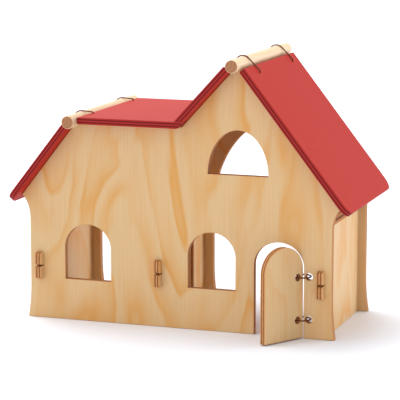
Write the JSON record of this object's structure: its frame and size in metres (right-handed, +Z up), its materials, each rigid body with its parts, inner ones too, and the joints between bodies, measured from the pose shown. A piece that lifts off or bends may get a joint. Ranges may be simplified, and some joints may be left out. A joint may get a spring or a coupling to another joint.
{
  "type": "doll's house",
  "caption": "Plywood doll's house: open gabled shell with arched windows, an arched front door on wire rings, and a roof of red panels tied over round ridge dowels.",
  "frame": {"origin": "middle of the house's footprint box, on the floor", "axes": "+X along the front from the low gable to the tall gable, +Y from the front wall to the back wall, +Z up"},
  "size_m": [0.498, 0.283, 0.3821],
  "materials": {
    "plywood": "clear-oiled pine-faced plywood, sanded edges",
    "painted_plywood": "plywood painted satin red all over",
    "dowel": "smooth sanded hardwood dowel",
    "wire": "dark lacquered copper-coloured wire"
  },
  "bodies": {
    "house": {"front_wall": "plywood", "back_wall": "plywood", "left_end_wall": "plywood", "partition_wall": "plywood", "right_end_wall": "plywood", "tall_ridge_dowel": "dowel", "low_ridge_dowel": "dowel", "tall_front_tie": "wire", "tall_rear_tie": "wire", "low_front_tie": "wire", "low_rear_tie": "wire"},
    "door": {"door": "plywood"},
    "upper_ring": {"upper_hinge_ring": "wire"},
    "lower_ring": {"lower_hinge_ring": "wire"},
    "long_panel": {"long_roof_panel": "painted_plywood"},
    "valley_panel": {"valley_roof_panel": "painted_plywood"},
    "flat_panel": {"flat_roof_panel": "painted_plywood"},
    "eave_panel": {"eave_roof_panel": "painted_plywood"}
  },
  "joints": [
    {"name": "door_swing", "type": "hinge", "parent": "house", "child": "door", "pos_m": [0.17963, -0.0823, 0], "axis": [0, 0, 1], "range_deg": [-59, 46]},
    {"name": "upper_ring_turn", "type": "hinge", "parent": "house", "child": "upper_ring", "pos_m": [0.17963, -0.0823, 0], "axis": [0, 0, 1], "range_deg": [-29.6, 23.1]},
    {"name": "lower_ring_turn", "type": "hinge", "parent": "house", "child": "lower_ring", "pos_m": [0.17963, -0.0823, 0], "axis": [0, 0, 1], "range_deg": [-29.6, 23.1]},
    {"name": "long_panel_lift", "type": "hinge", "parent": "house", "child": "long_panel", "pos_m": [0.08648, 0, 0.3708], "axis": [0, -1, 0], "range_deg": [0, 100], "deforming": ["tall_front_tie", "tall_rear_tie"]},
    {"name": "valley_panel_lift", "type": "hinge", "parent": "house", "child": "valley_panel", "pos_m": [0.08648, 0, 0.3708], "axis": [0, 1, 0], "range_deg": [0, 90.5], "deforming": ["tall_front_tie", "tall_rear_tie"]},
    {"name": "flat_panel_lift", "type": "hinge", "parent": "house", "child": "flat_panel", "pos_m": [-0.15012, 0, 0.2857], "axis": [0, -1, 0], "range_deg": [0, 36], "deforming": ["low_front_tie", "low_rear_tie"]},
    {"name": "eave_panel_lift", "type": "hinge", "parent": "house", "child": "eave_panel", "pos_m": [-0.15012, 0, 0.2857], "axis": [0, 1, 0], "range_deg": [0, 100], "deforming": ["low_front_tie", "low_rear_tie"]}
  ],
  "couplings": [
    {"joint": "upper_ring_turn", "follows": "door_swing", "ratio": 0.5},
    {"joint": "lower_ring_turn", "follows": "door_swing", "ratio": 0.5},
    {"joint": "valley_panel_lift", "follows": "flat_panel_lift", "ratio": 2.5}
  ]
}
